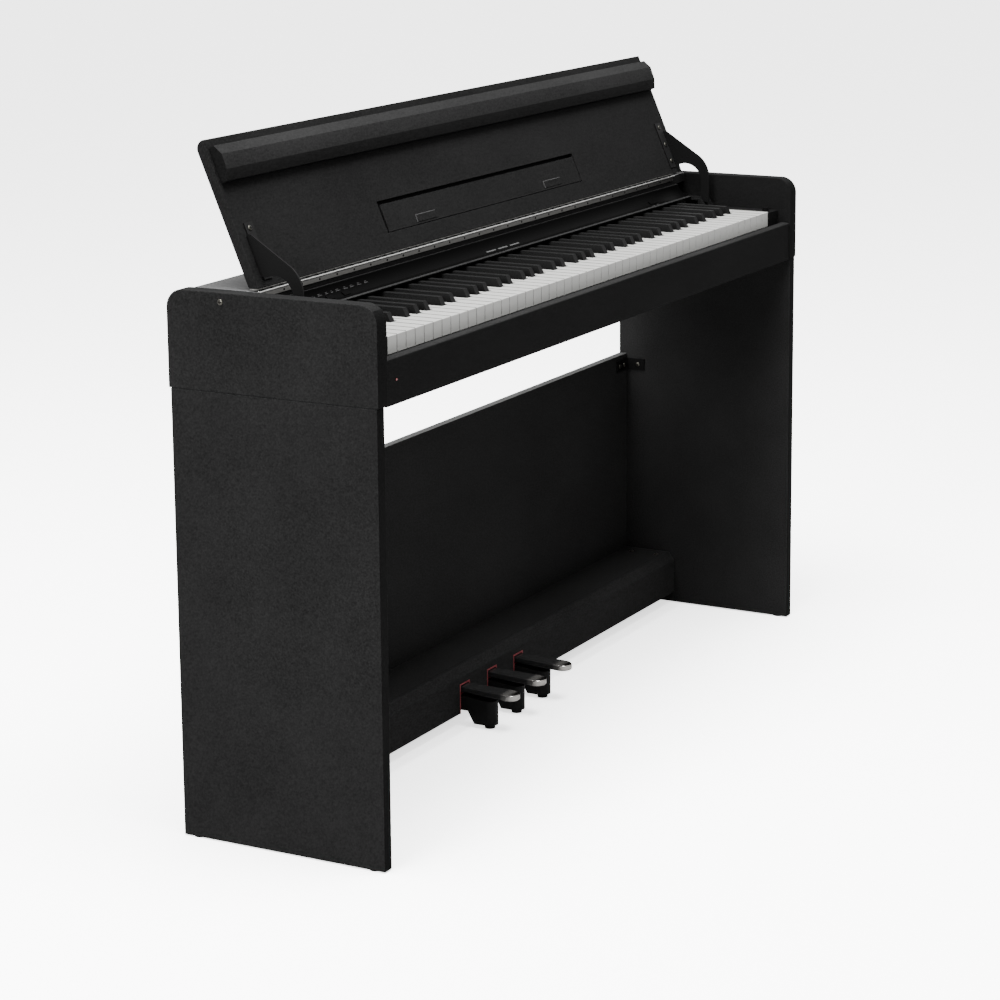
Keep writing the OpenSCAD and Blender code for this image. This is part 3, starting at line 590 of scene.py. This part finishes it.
for i, node in enumerate(("pedal_left", "pedal_middle", "pedal_right")):
    pedal(node, (i - 1) * PEDAL_PITCH)


# ---------------------------------------------------------------- panel marks and rest hinges

PANEL_R = 24.5
PANEL_Y = 4.5
PANEL_Z = 740.0


def panel_mark(bm, x0, x1, angle, width):
    """A printed bar on the concave panel, a tenth of a millimetre thick."""
    a = math.radians(angle)
    y = PANEL_Y + PANEL_R * math.cos(a)
    z = PANEL_Z + PANEL_R * math.sin(a)
    turn = Matrix.Translation((0, y * MM, z * MM)) @ Matrix.Rotation(a + math.pi / 2, 4, "X")
    add_box(bm, (x0, -width / 2, -0.05), (x1, width / 2, 0.07), turn)


def panel_print():
    """Short printed bars by the bass controls, three over the voices and two by the power button."""
    bm = bmesh.new()
    rng = random.Random(4)
    x = -548.0
    while x < -388:
        w = rng.uniform(5, 11)
        panel_mark(bm, x, x + w, -38, 0.6)
        panel_mark(bm, x + 1, x + 1 + w * rng.uniform(0.4, 0.7), -33, 0.5)
        x += w + rng.uniform(6, 10)
    for k in range(3):
        panel_mark(bm, -66 + 36 * k, -38 + 36 * k, -58, 2.2)
    for side in (484, 500):
        panel_mark(bm, side, side + 9, -74, 0.5)
    place("panel_print", bm, PRINT, "control_panel", smooth=False)


panel_print()


REST_HINGES_X = (-187, 203)
REST_HINGE_HALF = 27
REST_HINGE_LOW, REST_HINGE_HIGH = 35.5, 46.5
REST_HIGHLIGHT_W = 0.9


def rest_hinges():
    """Two slim black hinge plates let into the foot of the music rest."""
    bm = bmesh.new()
    at_axis = Matrix.Translation((0, AXIS_Y * MM, AXIS_Z * MM))
    frame_turn = at_axis @ Matrix.Rotation(math.pi / 2 - LEAN, 4, "X")
    half, low, high = REST_HINGE_HALF, REST_HINGE_LOW, REST_HINGE_HIGH
    for x in REST_HINGES_X:
        verts = add_box(bm, (x - half, low, LID_FACE - 0.2), (x + half, high, LID_FACE + 1.1), frame_turn)
        edges = list({e for v in verts for e in v.link_edges})
        bmesh.ops.bevel(
            bm, geom=edges, offset=0.3 * MM, offset_type="OFFSET", affect="EDGES",
            segments=2, profile=0.5, material=-1, clamp_overlap=True,
        )
    place("rest_hinge_plates", bm, LIDSKIN, "music_rest", sharp=16)
    # Pale strips along the top and left edge of each plate are a painted highlight where the light falls
    rims = bmesh.new()
    rim = REST_HIGHLIGHT_W
    for x in REST_HINGES_X:
        for corner, end in ((x - half, high - rim), (x + half, high)), ((x - half - rim, low), (x - half, high)):
            add_box(rims, (*corner, LID_FACE), (*end, LID_FACE + 1.3), frame_turn)
    place("rest_hinge_painted_edge_highlights", rims, PRINT, "music_rest", smooth=False)


rest_hinges()


# ---------------------------------------------------------------- stage

# Soft ceiling that fades to the walls, and the plain wall behind the piece
SKY_LOW = 0.6
SKY_HIGH = 3.0
BACKDROP = 9.0


def build_stage():
    """Pale floor that shows light but bounces little, under a soft sky."""
    floor = bpy.data.meshes.new("floor")
    bm = bmesh.new()
    bmesh.ops.create_grid(bm, x_segments=1, y_segments=1, size=30.0)
    bm.to_mesh(floor)
    bm.free()
    ob = bpy.data.objects.new("floor", floor)
    bpy.context.collection.objects.link(ob)
    mat = new_material("pale_floor")
    seen = add(mat, "ShaderNodeLightPath").outputs["Is Camera Ray"]
    tone = ramp(mat, seen, [(0.0, grey(0.4)), (1.0, grey(0.92))])
    surface(
        mat, Base_Color=tone, Roughness=0.9, Specular_IOR_Level=0.05,
        Emission_Color=grey(1.0), Emission_Strength=span(mat, seen, 0.0, 1.6),
    )
    floor.materials.append(mat)

    world = bpy.data.worlds.new("studio")
    world.use_nodes = True
    tree = world.node_tree
    co = tree.nodes.new("ShaderNodeTexCoord")
    axes = tree.nodes.new("ShaderNodeSeparateXYZ")
    height = tree.nodes.new("ShaderNodeMapRange")
    height.inputs[1].default_value = 0.0
    height.inputs[2].default_value = 0.9
    height.inputs[3].default_value = SKY_LOW
    height.inputs[4].default_value = SKY_HIGH
    path = tree.nodes.new("ShaderNodeLightPath")
    pick = tree.nodes.new("ShaderNodeMix")
    pick.inputs[3].default_value = BACKDROP
    tree.links.new(co.outputs["Generated"], axes.inputs[0])
    tree.links.new(axes.outputs[2], height.inputs[0])
    tree.links.new(path.outputs["Is Camera Ray"], pick.inputs[0])
    tree.links.new(height.outputs[0], pick.inputs[2])
    tree.nodes["Background"].inputs[0].default_value = grey(1.0)
    tree.links.new(pick.outputs[0], tree.nodes["Background"].inputs[1])
    bpy.context.scene.world = world


def area_light(name, at, to, size, power):
    """A soft rectangular lamp that points at a place in metres."""
    data = bpy.data.lights.new(name, "AREA")
    data.shape = "RECTANGLE"
    data.size, data.size_y = size
    data.energy = power
    ob = bpy.data.objects.new(name, data)
    bpy.context.collection.objects.link(ob)
    ob.location = at
    ob.rotation_euler = (Vector(to) - Vector(at)).to_track_quat("-Z", "Y").to_euler()
    return ob


def build_lights():
    area_light("left", (-4.4, 0.5, 2.0), (0, 0, 0.6), (2.0, 2.0), 560)
    area_light("top", (-0.6, -0.3, 3.9), (0, 0.1, 0.7), (3.0, 1.6), 1000)


def build_camera():
    """Camera on the bass side, a little above the keys."""
    azimuth = math.radians(-61.42)
    elevation = math.radians(11.346)
    roll = math.radians(-0.523)
    back = Vector((
        math.sin(azimuth) * math.cos(elevation),
        -math.cos(azimuth) * math.cos(elevation),
        math.sin(elevation),
    ))
    data = bpy.data.cameras.new("camera")
    data.sensor_width = 36.0
    data.lens = 104.64
    data.shift_y = -0.13
    data.clip_end = 100.0
    cam = bpy.data.objects.new("camera", data)
    bpy.context.collection.objects.link(cam)
    cam.location = Vector((-0.042, 0.010, 0.540)) + back * 4.3
    cam.rotation_mode = "QUATERNION"
    cam.rotation_quaternion = (-back).to_track_quat("-Z", "Y") @ Quaternion((0, 0, 1), roll)
    bpy.context.scene.camera = cam


build_stage()
build_lights()
build_camera()
